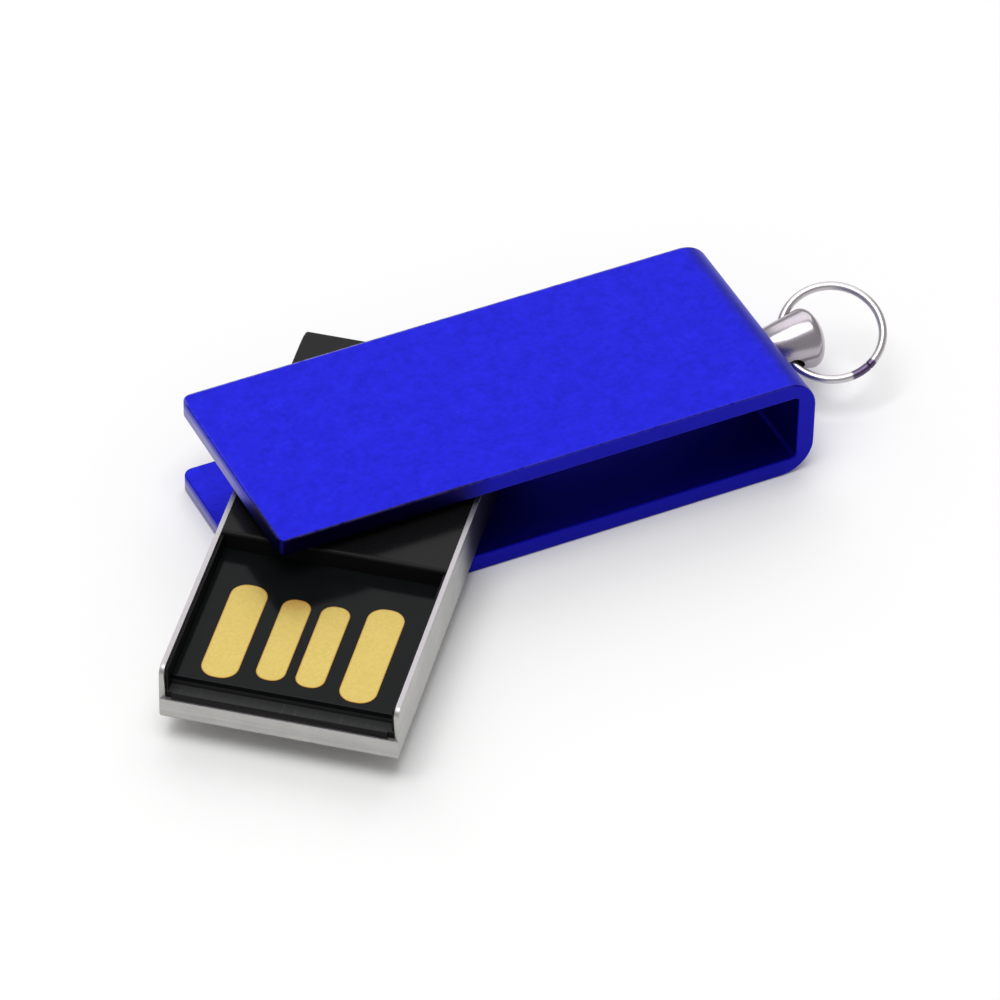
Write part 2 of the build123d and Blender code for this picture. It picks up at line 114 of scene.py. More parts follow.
def round_opening(bm, centre, normal, radius, cuts=9):
    """Parts off a round face from the flat one that a point lies on, and returns it."""
    centre, normal = Vector(centre), Vector(normal)

    def flat():
        bm.normal_update()
        return [f for f in bm.faces if f.normal.dot(normal) > 0.999
                and abs((f.verts[0].co - centre).dot(normal)) < NEARLY]

    for side in (Vector((1, 0, 0)), Vector((0, 1, 0)), Vector((0, 0, 1))):
        if abs(side.dot(normal)) < 0.5:
            cut_across(bm, flat(), centre + side * radius, side)
            cut_across(bm, flat(), centre - side * radius, side)
    square = min(flat(), key=lambda f: (f.calc_center_median() - centre).length)
    bmesh.ops.bisect_edges(bm, edges=square.edges[:], cuts=cuts)
    for vert in square.verts:
        vert.co = centre + (vert.co - centre).normalized() * radius
    return square


def drawn_out(bm, face, distance):
    """Extrudes one face along its normal, or inwards if the distance is negative."""
    way = face.normal.copy()
    end = bmesh.ops.extrude_discrete_faces(bm, faces=[face])["faces"][0]
    bmesh.ops.translate(bm, vec=way * distance, verts=end.verts)
    return end


def finished(bm, name, body, nodes):
    """Makes the mesh an object that rides on a body and stands for CAD nodes."""
    bmesh.ops.remove_doubles(bm, verts=bm.verts, dist=1e-8)
    bmesh.ops.recalc_face_normals(bm, faces=bm.faces)
    for face in bm.faces:
        face.smooth = True
    for edge in sharp_edges(bm, radians(38)):
        edge.smooth = False
    mesh = bpy.data.meshes.new(name)
    bm.to_mesh(mesh)
    bm.free()
    piece = bpy.data.objects.new(name, mesh)
    bpy.context.scene.collection.objects.link(piece)
    weighted = piece.modifiers.new("even_shading", "WEIGHTED_NORMAL")
    weighted.mode = "FACE_AREA"
    weighted.keep_sharp = True
    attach(piece, body)
    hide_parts(*nodes)
    return piece


cover_mesh = bmesh.new()
cuboid(cover_mesh, cover_low, cover_high)
bends = [e for e in cover_mesh.edges if runs_along(e, 1) and middle(e).x > cover_high.x - NEARLY]
round_off(cover_mesh, bends, BEND_RADIUS, 16)
for height in plate_faces:
    outside = [f for f in cover_mesh.faces if abs(f.normal.y) > 0.99 or f.normal.x < -0.99]
    cut_across(cover_mesh, outside, (0, 0, height), (0, 0, 1))
walls = [f for f in cover_mesh.faces if abs(f.normal.y) > 0.99]
cut_across(cover_mesh, walls, (end_inner_face, 0, 0), (1, 0, 0))
slot_sides = [
    f for f in cover_mesh.faces
    if plate_faces[0] < f.calc_center_median().z < plate_faces[1]
    and f.calc_center_median().x < end_inner_face and abs(f.normal.z) < 0.5
]
bmesh.ops.delete(cover_mesh, geom=slot_sides, context="FACES")


def corner_points(bm, x=None, z=None):
    """Points on the rim of an open shell at an x, a z or both."""
    return [v for v in bm.verts if v.is_boundary and (x is None or abs(v.co.x - x) < NEARLY)
            and (z is None or abs(v.co.z - z) < NEARLY)]


for height in plate_faces:
    bmesh.ops.contextual_create(cover_mesh, geom=corner_points(cover_mesh, z=height))
bmesh.ops.contextual_create(cover_mesh, geom=corner_points(cover_mesh, x=end_inner_face))
bmesh.ops.recalc_face_normals(cover_mesh, faces=cover_mesh.faces)
clean_flats(cover_mesh)
inner_bends = [
    e for e in cover_mesh.edges
    if runs_along(e, 1) and abs(middle(e).x - end_inner_face) < NEARLY
    and min(abs(middle(e).z - height) for height in plate_faces) < NEARLY
]
round_off(cover_mesh, inner_bends, INNER_BEND_RADIUS, 5)
open_corners = [e for e in cover_mesh.edges if runs_along(e, 2) and middle(e).x < cover_low.x + NEARLY]
round_off(cover_mesh, open_corners, OPEN_CORNER_RADIUS, 8)
round_off(cover_mesh, sharp_edges(cover_mesh), EDGE_BREAK, 3)
for height, up in zip(plate_faces, (1, -1)):
    socket = round_opening(cover_mesh, (0, 0, height), (0, 0, up), SOCKET_RADIUS)
    drawn_out(cover_mesh, socket, -SOCKET_DEPTH)
mouths = [
    round_opening(cover_mesh, (x, cover_middle.y, cover_middle.z), (way, 0, 0), STUD_HOLE_RADIUS, 5)
    for x, way in ((end_inner_face, -1), (cover_high.x, 1))
]
hole_rims = [e for mouth in mouths for e in mouth.edges]
bmesh.ops.delete(cover_mesh, geom=mouths, context="FACES_ONLY")
bmesh.ops.bridge_loops(cover_mesh, edges=hole_rims)
swivel_cover = finished(cover_mesh, "anodised_cover", "cover", ["swivel_cover"])


class Value:
    """One output of a material's nodes. Arithmetic on it adds Math nodes."""

    def __init__(self, tree, socket=None):
        self.tree, self.socket = tree, socket

    def node(self, kind, settings=None, sockets=None, output=0):
        """Adds any node: its settings first, then its sockets' values or links."""
        made = self.tree.nodes.new(kind)
        for name, value in (settings or {}).items():
            setattr(made, name, value)
        for name, value in (sockets or {}).items():
            if isinstance(value, Value):
                self.tree.links.new(value.socket, made.inputs[name])
            else:
                made.inputs[name].default_value = value
        return Value(self.tree, made.outputs[output])

    def maths(self, operation, other=0.0, turned_round=False):
        pair = (other, self) if turned_round else (self, other)
        return self.node("ShaderNodeMath", {"operation": operation}, {0: pair[0], 1: pair[1]})

    def vector(self, operation, other=(0, 0, 0), output=0):
        return self.node("ShaderNodeVectorMath", {"operation": operation}, {0: self, 1: other}, output)

    def __add__(self, other):
        return self.maths("ADD", other)

    def __sub__(self, other):
        return self.maths("SUBTRACT", other)

    def __rsub__(self, other):
        return self.maths("SUBTRACT", other, turned_round=True)

    def __mul__(self, other):
        return self.maths("MULTIPLY", other)

    def __truediv__(self, other):
        return self.maths("DIVIDE", other)

    def __abs__(self):
        return self.maths("ABSOLUTE")

    __radd__, __rmul__ = __add__, __mul__

    def capped(self):
        """Never over 1."""
        return self.maths("MINIMUM", 1.0)

    def step(self, low, high):
        """0 at low, 1 at high, and smooth between."""
        return self.node("ShaderNodeMapRange", {"interpolation_type": "SMOOTHSTEP"},
                         {"Value": self, "From Min": low, "From Max": high})

    def noise(self, scale, detail=2.0, roughness=0.5):
        return self.node("ShaderNodeTexNoise", {}, {"Vector": self, "Scale": scale, "Detail": detail,
                                                    "Roughness": roughness})

    def mix(self, first, second):
        """Between two colours, by this value."""
        return self.node("ShaderNodeMix", {"data_type": "RGBA"}, {0: self, 6: first, 7: second}, 2)

    def turned(self, turn=0.0, scale=(1, 1, 1)):
        """A vector turned about Z and then stretched."""
        upright = self.node("ShaderNodeMapping", {}, {"Vector": self, "Rotation": (0, 0, turn)})
        return upright.node("ShaderNodeMapping", {}, {"Vector": upright, "Scale": scale})

    def parts(self):
        """The X, Y and Z of a vector."""
        return [self.node("ShaderNodeSeparateXYZ", {}, {0: self}, axis) for axis in range(3)]

    def bump(self, distance, strength=1.0, over=None):
        links = {"Height": self, "Distance": distance, "Strength": strength}
        if over:
            links["Normal"] = over
        return self.node("ShaderNodeBump", {}, links)


def new_finish(name, **fixed):
    """A material, and the object coordinates to pattern it by. Fixed values go on its shader."""
    material = bpy.data.materials.new(name)
    material.use_nodes = True
    shader = material.node_tree.nodes["Principled BSDF"]
    for socket, value in fixed.items():
        shader.inputs[socket.replace("_", " ")].default_value = value
    place = Value(material.node_tree).node("ShaderNodeTexCoord", {}, {}, "Object")
    return material, place


def dress(material, *pieces, **patterns):
    """Links patterns to the shader's sockets and puts the material on pieces."""
    shader = material.node_tree.nodes["Principled BSDF"]
    for socket, value in patterns.items():
        material.node_tree.links.new(value.socket, shader.inputs[socket.replace("_", " ")])
    for piece in pieces:
        piece.data.materials.clear()
        piece.data.materials.append(material)


def rgb(red, green, blue):
    return (red, green, blue, 1.0)


OUTER_SIDE = (0.975, 0.992)
OUTER_PLATE = (0.955, 0.985)
OPEN_END = (0.975, 0.995)
PALE_END = (-2.8, 0.5)
DARK_END = (-1.5, -3.5)
DARK_SIDE = (4.0, 1.5)
DYE_DEEP = rgb(0.0092, 0.0102, 0.450)
DYE_BRIGHT = rgb(0.0138, 0.0152, 0.585)
SLOT_SHADE_TONE = rgb(0.005, 0.004, 0.34)
SIDE_SHADE_TONE = rgb(0.0060, 0.0050, 0.34)
CORNER_SHADE_TONE = rgb(0.004, 0.002, 0.035)
DYE_FLECK = rgb(0.055, 0.057, 0.62)
WEAR_AND_REFLECTION_TONE = rgb(0.42, 0.41, 0.45)

# The blue varies at random, with flecks and worn edges. Painted shade darkens the slot, both side
# faces and the near corner of the upper plate, a painted highlight lies along the far top edge,
# and a painted pale reflection lies on the cut end, fading towards the near side.
anodised, place = new_finish("blue_anodised_aluminium", Metallic=1.0)
x, y, z = place.parts()
outer_side = (abs(y) / cover_high.y).step(*OUTER_SIDE)
outer_plate = (abs(z - cover_middle.z) / (cover_high.z - cover_middle.z)).step(*OUTER_PLATE)
open_end = (x / cover_low.x).step(*OPEN_END)
blotch = place.noise(260, 4.0, 0.6)
grit = place.noise(9500, 3.0, 0.7)
speck = place.noise(3200, 2.0, 0.6)
corner = (outer_side * outer_plate + open_end * outer_plate + open_end * outer_side).capped()
# A painted highlight along the far top edge, with some wear on the other edges.
far_edge_highlight = (y / MM).step(5.0, 6.0) * 0.9 + 0.1
wear_and_highlight = corner * far_edge_highlight * (blotch * 0.6 + 0.4) * speck.step(0.2, 0.6)
# Painted shade inside the slot, fading out towards the open end.
slot_shade = (abs(z - cover_middle.z) / MM).step(2.08, 2.02) * ((x - end_inner_face) / MM).step(0.06, 0.02)
slot_shade = slot_shade * (x / MM).step(-6.5, -3.0)
cloud = place.noise(1000, 3.0, 0.6)
cover_tone = (cloud * 0.45 + speck * 0.35 + grit * 0.2).step(0.33, 0.67).mix(DYE_DEEP, DYE_BRIGHT)
fleck = place.noise(4300, 1.0, 0.5).step(0.62, 0.80) * 0.12
cover_tone = fleck.mix(cover_tone, DYE_FLECK)
# Painted shade on both side faces and in the slot.
cover_tone = (outer_side * 0.8).mix(slot_shade.mix(cover_tone, SLOT_SHADE_TONE), SIDE_SHADE_TONE)
# Painted shade on the near corner of the upper plate, along the near side and the cut end.
near_side_shade = outer_side * (y / MM).step(-5.9, -6.0) * (x / MM).step(*DARK_SIDE)
near_end_shade = open_end * (y / MM).step(*DARK_END)
corner_shade = (near_side_shade + near_end_shade).capped() * (z / MM).step(4.9, 5.1)
cover_tone = (corner_shade * 0.9).mix(cover_tone, CORNER_SHADE_TONE)
# A painted pale reflection on the lower part of the cut end, fading towards the near side.
end_reflection = open_end * (z / MM).maths("MODULO", 5.0).step(0.85, 0.5) * (y / MM).step(*PALE_END)
paler = (end_reflection * (0.30 + blotch * 0.5) + wear_and_highlight * 0.7).capped()
dress(anodised, swivel_cover,
      Base_Color=paler.mix(cover_tone, WEAR_AND_REFLECTION_TONE),
      Roughness=0.38 + grit * 0.12 - wear_and_highlight * 0.1,
      Normal=grit.bump(2.6e-6, 0.9, over=speck.bump(3.6e-6, 0.7)))

# ---------------------------------------------------------------------------------------------
# Plug tray. Thin steel sheet pressed into a long open tray, which slides into the port as the
# plug's shell. Its front wall is low, its side walls end in rounded noses, and its rear is open.
# Matt from the press, with fine scratches along the way it slides.
# ---------------------------------------------------------------------------------------------
DRIVE_TURN = radians(-129.75)
TRAY_LENGTH = 22.5 * MM
TRAY_WIDTH = 12.1 * MM
TRAY_SHEET = 0.25 * MM
FRONT_WALL = 1.3 * MM
NOSE_RADIUS = 0.5 * MM
FOLD_RADIUS = 0.3 * MM
SHEARED_EDGE = 0.05 * MM
BOSS_OPENING = 3.35 * MM


def along_drive(node):
    """The middle of a node's box, in axes with the drive's front at +X."""
    low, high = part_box(node)
    return Matrix.Rotation(-DRIVE_TURN, 3, "Z") @ ((low + high) / 2)


def swung(bm):
    """Turns a mesh drawn along +X to where the drive stands."""
    turn = Matrix.Rotation(DRIVE_TURN, 3, "Z")
    bmesh.ops.rotate(bm, cent=(0, 0, 0), matrix=turn, verts=bm.verts)


tray_bottom, tray_top = (corner.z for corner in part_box("plug_tray"))
tray_front = along_drive("plug_tray").x + TRAY_LENGTH / 2
front_wall_top = tray_bottom + FRONT_WALL

tray_mesh = bmesh.new()
cuboid(tray_mesh, (tray_front - TRAY_LENGTH, -TRAY_WIDTH / 2, tray_bottom),
       (tray_front, TRAY_WIDTH / 2, tray_top))
cut_across(tray_mesh, tray_mesh.faces, (0, 0, front_wall_top), (0, 0, 1))
open_sides = [
    f for f in tray_mesh.faces
    if f.normal.z > 0.9 or f.normal.x < -0.9
    or (f.normal.x > 0.9 and f.calc_center_median().z > front_wall_top)
]
bmesh.ops.delete(tray_mesh, geom=open_sides, context="FACES")
clean_flats(tray_mesh)
noses = [v for v in tray_mesh.verts if v.co.x > tray_front - NEARLY and v.co.z > tray_top - NEARLY]
round_off(tray_mesh, noses, NOSE_RADIUS, 8, affect="VERTICES")
folds = [e for e in tray_mesh.edges if not e.is_boundary and middle(e).z < tray_bottom + NEARLY]
round_off(tray_mesh, folds, FOLD_RADIUS, 5)
boss_hole = round_opening(tray_mesh, (0, 0, tray_bottom), (0, 0, -1), BOSS_OPENING)
bmesh.ops.delete(tray_mesh, geom=[boss_hole], context="FACES_ONLY")
bmesh.ops.recalc_face_normals(tray_mesh, faces=tray_mesh.faces)
bmesh.ops.solidify(tray_mesh, geom=tray_mesh.faces[:], thickness=TRAY_SHEET)
round_off(tray_mesh, sharp_edges(tray_mesh), SHEARED_EDGE, 2)
swung(tray_mesh)
plug_tray = finished(tray_mesh, "pressed_tray", "drive", ["plug_tray"])

STEEL_DULL = rgb(0.41, 0.41, 0.40)
STEEL_BRIGHT = rgb(0.54, 0.535, 0.515)
STEEL_SHADE_TONE = rgb(0.030, 0.028, 0.050)
STEEL_RUBBED = rgb(0.44, 0.42, 0.44)

UNDER_COVER = (8.2, 4.6)

# Painted shade darkens the right-hand wall where it runs in under the cover.
steel, place = new_finish("pressed_steel", Metallic=1.0)
drive_place = place.turned(-DRIVE_TURN)
x, y, z = drive_place.parts()
side_scratch = drive_place.turned(0, (90, 90, 5200)).noise(1.0, 4.0, 0.65)
orange_peel = place.noise(5200, 3.0, 0.6)
stain = place.noise(420, 4.0, 0.6)
front_lip = (abs(z - front_wall_top) / MM).step(0.06, 0.03) * ((x - tray_front) / MM).step(-0.3, -0.2)
rim_rub = ((z - tray_top) / MM).step(-0.10, -0.02) + front_lip
# Painted shade on the right-hand wall where it runs under the cover.
tray_shade = (x / MM + stain * 1.5).step(*UNDER_COVER) * (y / MM).step(5.9, 6.0)
tone = (side_scratch * 0.45 + stain * 0.35 + orange_peel * 0.2).step(0.3, 0.7)
steel_and_shade = tray_shade.mix(tone.mix(STEEL_DULL, STEEL_BRIGHT), STEEL_SHADE_TONE)
dress(steel, plug_tray,
      Base_Color=rim_rub.mix(steel_and_shade, STEEL_RUBBED),
      Roughness=0.40 + orange_peel * 0.18 - stain * 0.08,
      Normal=orange_peel.bump(2.2e-6, 0.6, over=side_scratch.bump(1.5e-6, 0.6)))

# ---------------------------------------------------------------------------------------------
# Chip carrier. Black plastic frame, moulded, that lies in the tray and holds the chip module on
# its floor between thin rails. Its front bar laps over the tray's front wall.
# ---------------------------------------------------------------------------------------------
MOULDED_EDGE = 0.035 * MM
BAR_PROUD = 0.4 * MM


def softened(node, width):
    """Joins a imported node's loose triangles and takes the sharpness off its edges."""
    piece = frame["nodes"][node]
    weld = piece.modifiers.new("joined", "WELD")
    weld.merge_threshold = 1e-7
    edge = piece.modifiers.new("soft_edges", "BEVEL")
    edge.width = width
    edge.segments = 2
    edge.limit_method = "ANGLE"
    edge.angle_limit = radians(50)
    return piece


black_plastic, place = new_finish("black_moulded_plastic", Specular_IOR_Level=0.09)
grain = place.noise(7500, 3.0, 0.6)
flow = place.turned(-DRIVE_TURN, (300, 1800, 900)).noise(1.0, 4.0, 0.55)
scuff = place.turned(-DRIVE_TURN, (700, 7000, 2500)).noise(1.0, 3.0, 0.6).step(0.58, 0.72)
x, y, z = place.turned(-DRIVE_TURN).parts()
from_front = (x - tray_front) / MM
at_bar_height = (abs(z - front_wall_top - BAR_PROUD) / MM).step(0.05, 0.03)
# A painted sheen on the bar's top face, broken by scuffs.
bar_top_sheen = at_bar_height * from_front.step(-0.86, -0.80) * from_front.step(-0.10, -0.18)
black_tone = (flow * 0.6 + scuff * 0.4).mix(rgb(0.004, 0.004, 0.005), rgb(0.009, 0.009, 0.009))
dress(black_plastic, softened("chip_carrier", MOULDED_EDGE),
      Base_Color=(bar_top_sheen * (0.6 + scuff * 0.4)).mix(black_tone, rgb(0.048, 0.050, 0.049)),
      Roughness=0.34 + grain * 0.16 + scuff * 0.12,
      Normal=grain.bump(1.5e-6, 0.6))

# ---------------------------------------------------------------------------------------------
# Chip module. A thin board with black solder mask, contacts on top, and dies, gold wires,
# capacitors and resistors underneath, all cast into one black block and glued to the floor.
# ---------------------------------------------------------------------------------------------
SAWN_EDGE = 0.03 * MM

solder_mask, place = new_finish("black_solder_mask", Specular_IOR_Level=0.07)
mask_wave = place.noise(900, 3.0, 0.5)
mask_grain = place.noise(8000, 2.0, 0.6)
dress(solder_mask, softened("chip_substrate", SAWN_EDGE),
      Base_Color=mask_wave.mix(rgb(0.0035, 0.0042, 0.0045), rgb(0.0065, 0.0080, 0.0082)),
      Roughness=0.09 + mask_wave * 0.05 + mask_grain * 0.04,
      Normal=mask_grain.bump(0.5e-6, 0.5, over=mask_wave.bump(2e-6, 0.35)))

moulding, place = new_finish("black_epoxy_moulding", Specular_IOR_Level=0.4)
filler = place.noise(11000, 4.0, 0.7)
dress(moulding, frame["nodes"]["moulding_compound"],
      Base_Color=filler.mix(rgb(0.008, 0.008, 0.009), rgb(0.022, 0.022, 0.023)),
      Roughness=0.5 + filler * 0.2, Normal=filler.bump(2e-6, 0.7))

adhesive, place = new_finish("clear_adhesive_film")
cloud = place.noise(1500, 3.0, 0.6)
dress(adhesive, frame["nodes"]["module_adhesive"],
      Base_Color=cloud.mix(rgb(0.50, 0.46, 0.34), rgb(0.62, 0.58, 0.45)),
      Roughness=0.35 + cloud * 0.2, Normal=cloud.bump(4e-6, 0.6))

die_attach, place = new_finish("die_attach_film")
cloud = place.noise(4200, 3.0, 0.6)
dress(die_attach, *(frame["nodes"][n] for n in
                    ("controller_die_film", "flash_die_film_first", "flash_die_film_second")),
      Base_Color=cloud.mix(rgb(0.20, 0.13, 0.05), rgb(0.30, 0.20, 0.08)),
      Roughness=0.45 + cloud * 0.2, Normal=cloud.bump(1e-6, 0.6))

silicon, place = new_finish("ground_silicon", Metallic=0.7)
grinding = place.turned(0.4, (900, 22000, 900)).noise(1.0, 3.0, 0.6)
dress(silicon, *(frame["nodes"][n] for n in ("controller_die", "flash_die_first", "flash_die_second")),
      Base_Color=grinding.mix(rgb(0.10, 0.11, 0.13), rgb(0.20, 0.21, 0.24)),
      Roughness=0.18 + grinding * 0.2, Normal=grinding.bump(0.4e-6, 0.7))

bond_gold, place = new_finish("drawn_gold_wire", Metallic=1.0)
draw = place.noise(26000, 2.0, 0.5)
dress(bond_gold, *(frame["nodes"][n] for n in ("controller_bond_wires", "flash_bond_wires")),
      Base_Color=draw.mix(rgb(0.80, 0.56, 0.20), rgb(0.92, 0.70, 0.32)),
      Roughness=0.2 + draw * 0.15, Normal=draw.bump(0.3e-6, 0.5))

for name, body_tone, node in (("capacitor_ceramic", (0.36, 0.24, 0.14), "capacitors"),
                              ("resistor_ceramic", (0.03, 0.03, 0.035), "resistors")):
    ceramic, place = new_finish(name)
    fired = place.noise(9000, 3.0, 0.6)
    end_caps = abs(place.turned(-DRIVE_TURN, (2600, 1, 1)).parts()[0].maths("FRACT") - 0.5)
    dress(ceramic, softened(node, 0.02 * MM),
          Base_Color=fired.mix(rgb(*body_tone), rgb(*(tone * 1.3 for tone in body_tone))),
          Metallic=end_caps.step(0.47, 0.49), Roughness=0.35 + fired * 0.2,
          Normal=fired.bump(1e-6, 0.6))

# ---------------------------------------------------------------------------------------------
# Contacts and test pads. Copper with nickel and a thin matt gold plating, etched on the board:
# a longer, wider outer pair for power and ground, a shorter inner pair for data, and dots that
# the rear cap hides. The mask laps a little way over each pad's edge, where the gold looks red.
# ---------------------------------------------------------------------------------------------
OUTER_PAD = (6.9 * MM, 1.9 * MM)
INNER_PAD = (6.0 * MM, 1.5 * MM)
PAD_END_ROUND = 0.44
PAD_LIP = 0.07 * MM
PAD_CROWN = 0.012 * MM


def contact_pad(node, name, size):
    """A long pad with nearly half-round ends. An attribute marks its red rim."""
    length, width = size
    centre = along_drive(node)
    bottom, top = (corner.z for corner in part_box(node))
    bm = bmesh.new()
    rim = bm.verts.layers.float.new("rim")
    bmesh.ops.create_grid(bm, x_segments=1, y_segments=1, size=0.5)
    bmesh.ops.scale(bm, vec=(length, width, 1), verts=bm.verts)
    bmesh.ops.translate(bm, vec=(centre.x, centre.y, bottom), verts=bm.verts)
    round_off(bm, bm.verts[:], PAD_END_ROUND * width, 10, affect="VERTICES")
    bm.normal_update()
    top_face = drawn_out(bm, bm.faces[:][0], top - PAD_CROWN - bottom)
    for vert in bm.verts:
        vert[rim] = 1.0
    bmesh.ops.inset_individual(bm, faces=[top_face], thickness=PAD_CROWN, depth=PAD_CROWN)
    bmesh.ops.inset_individual(bm, faces=[top_face], thickness=PAD_LIP, depth=0)
    for vert in top_face.verts:
        vert[rim] = 0.0
    bmesh.ops.holes_fill(bm, edges=bm.edges[:], sides=0)
    swung(bm)
    return finished(bm, name, "drive", [node])


pads = [
    contact_pad("contact_vbus", "pad_vbus", OUTER_PAD),
    contact_pad("contact_data_minus", "pad_data_minus", INNER_PAD),
    contact_pad("contact_data_plus", "pad_data_plus", INNER_PAD),
    contact_pad("contact_ground", "pad_ground", OUTER_PAD),
]

GOLD_PALE = rgb(0.64, 0.50, 0.155)
GOLD_DEEP = rgb(0.56, 0.43, 0.12)
GOLD_RED = rgb(0.45, 0.20, 0.035)
COVER_SHADE_CENTRE = (8.4, -1.3)

gold, place = new_finish("matt_gold_plating", Metallic=0.85)
on_drive = place.turned(-DRIVE_TURN)
x, y, z = on_drive.parts()
plating = place.noise(5200, 3.0, 0.65)
tarnish = place.noise(900, 3.0, 0.5)
rim = place.node("ShaderNodeAttribute", {"attribute_name": "rim"}, {}, "Fac")
# Painted shade of the cover, in red-brown, on the pads' rear ends, strongest left of middle.
behind = (tray_front - x) / MM - COVER_SHADE_CENTRE[0]
beside = y / MM - COVER_SHADE_CENTRE[1]
cover_shade_spot = (behind * behind + beside * beside).maths("SQRT")
redder = (rim * 0.8 + cover_shade_spot.step(2.4, 0.5) * 0.6 + tarnish.step(0.66, 0.85) * 0.15).capped()
gold_tone = (plating * 0.8 + tarnish * 0.2).step(0.3, 0.7).mix(GOLD_DEEP, GOLD_PALE)
dress(gold, *pads, frame["nodes"]["test_pads"],
      Base_Color=redder.mix(gold_tone, GOLD_RED),
      Roughness=0.46 + plating * 0.16,
      Normal=plating.bump(1.2e-6, 0.6))

# ---------------------------------------------------------------------------------------------
# Rear cap. Glossy black plastic, moulded, that closes the carrier over the back half of the
# module with two glued pegs. The round boss on its collar snaps into the cover's upper socket.
# ---------------------------------------------------------------------------------------------
CAP_LENGTH = 16.1 * MM
CAP_WIDTH = 11.6 * MM
CAP_END_ROUND = 0.18 * MM
CAP_EDGE = 0.05 * MM
COLLAR_RADIUS = 3.3 * MM
COLLAR_HEIGHT = 0.4 * MM
BOSS_RADIUS = 2.45 * MM
BOSS_HEIGHT = 0.45 * MM
PEG_RADIUS = 0.25 * MM
PEG_LENGTH = 0.78 * MM
PEG_SPACING = 8.4 * MM
PEG_FROM_REAR = 0.47 * MM

cap_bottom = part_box("chip_substrate")[1].z
cap_top = tray_top
cap_middle = along_drive("rear_cap").x
cap_rear = cap_middle - CAP_LENGTH / 2
cap_front = cap_middle + CAP_LENGTH / 2

cap_mesh = bmesh.new()
cuboid(cap_mesh, (cap_rear, -CAP_WIDTH / 2, cap_bottom), (cap_front, CAP_WIDTH / 2, cap_top))
rear_corners = [e for e in cap_mesh.edges if runs_along(e, 2) and middle(e).x < cap_rear + NEARLY]
round_off(cap_mesh, rear_corners, CAP_END_ROUND, 5)
top_ends = [e for e in sharp_edges(cap_mesh) if middle(e).z > cap_top - NEARLY
            and not runs_along(e, 0)]
round_off(cap_mesh, top_ends, CAP_END_ROUND, 5)
round_off(cap_mesh, sharp_edges(cap_mesh), CAP_EDGE, 2)
collar_root = round_opening(cap_mesh, (0, 0, cap_top), (0, 0, 1), COLLAR_RADIUS)
collar = drawn_out(cap_mesh, collar_root, COLLAR_HEIGHT)
bmesh.ops.inset_individual(cap_mesh, faces=[collar], thickness=COLLAR_RADIUS - BOSS_RADIUS, depth=0)
drawn_out(cap_mesh, collar, BOSS_HEIGHT)
for across in (-PEG_SPACING / 2, PEG_SPACING / 2):
    peg_place = (cap_rear + PEG_FROM_REAR, across, cap_bottom)
    peg_root = round_opening(cap_mesh, peg_place, (0, 0, -1), PEG_RADIUS, 4)
    drawn_out(cap_mesh, peg_root, PEG_LENGTH)
swung(cap_mesh)
rear_cap = finished(cap_mesh, "moulded_cap", "drive", ["rear_cap"])

gloss_plastic, place = new_finish("glossy_black_plastic", Specular_IOR_Level=0.12)
ripple = place.noise(700, 3.0, 0.5)
dust = place.noise(9000, 2.0, 0.6)
hairline = place.turned(-DRIVE_TURN, (400, 9000, 900)).noise(1.0, 3.0, 0.6).step(0.6, 0.75)
front_edge = (place.turned(-DRIVE_TURN).parts()[0] / MM - cap_front / MM).step(-0.30, -0.12)
dress(gloss_plastic, rear_cap,
      Base_Color=dust.mix(rgb(0.003, 0.003, 0.0035), rgb(0.008, 0.008, 0.0085)),
      Roughness=0.15 + ripple * 0.08 + hairline * 0.05 + front_edge * 0.3,
      Normal=dust.bump(0.4e-6, 0.5, over=ripple.bump(3e-6, 0.4)))

# ---------------------------------------------------------------------------------------------
# Ring stud. Turned from steel rod with a flare and a domed head, drilled across for the ring,
# chromed, and riveted over inside the cover's end wall so that it can still turn.
# ---------------------------------------------------------------------------------------------
STUD_LENGTH = 3.5 * MM
STUD_BASE = 1.06 * MM
SHANK_RADIUS = 0.75 * MM
HEAD_RADIUS = 1.57 * MM
RIM_CENTRE = (2.648 * MM, 1.099 * MM)
RIM_ARC = radians(101.74 - 25.99)
CROWN_RADIUS = 2.253 * MM
CROWN_ARC = radians(35.55)
RIVET_RADIUS = 1.25 * MM
RIVET_END_RADIUS = 0.875 * MM
RIVET_HEAD = 0.4 * MM
RIVET_LAND = 0.16 * MM
FOOT_BEVEL = 0.08 * MM
STUD_CLEARANCE = 0.04 * MM
RIVET_FACE = -PLATE - STUD_CLEARANCE
CROSS_HOLE = 0.55 * MM
CROSS_HOLE_PLACE = 1.6 * MM
TURNED_STEPS = 120
DRILL_STEPS = 64

stud_low, stud_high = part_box("ring_stud")
stud_axis_z = (stud_low.z + stud_high.z) / 2
stud_foot = stud_high.x - STUD_LENGTH
joints = {joint["name"]: joint for joint in frame["joints"]}
hole_axis = Vector(joints["ring_swing"]["axis"]).normalized()
hole_centre = Vector((stud_foot + CROSS_HOLE_PLACE, 0, stud_axis_z))


def line_to(bm, start, x, radius):
    """Draws the lathe's outline on to a distance from the cover's end face and a radius."""
    end = bm.verts.new((stud_foot + x, 0, stud_axis_z + radius))
    bm.edges.new((start, end))
    return end


def arc_to(bm, start, x, radius, angle, steps):
    """Draws the outline round a centre in the lathe's own plane, and returns its last point."""
    made = bmesh.ops.spin(bm, geom=[start], cent=(stud_foot + x, 0, stud_axis_z + radius), axis=(0, 1, 0),
                          angle=angle, steps=steps, use_merge=False, use_duplicate=False)
    return made["geom_last"][0]


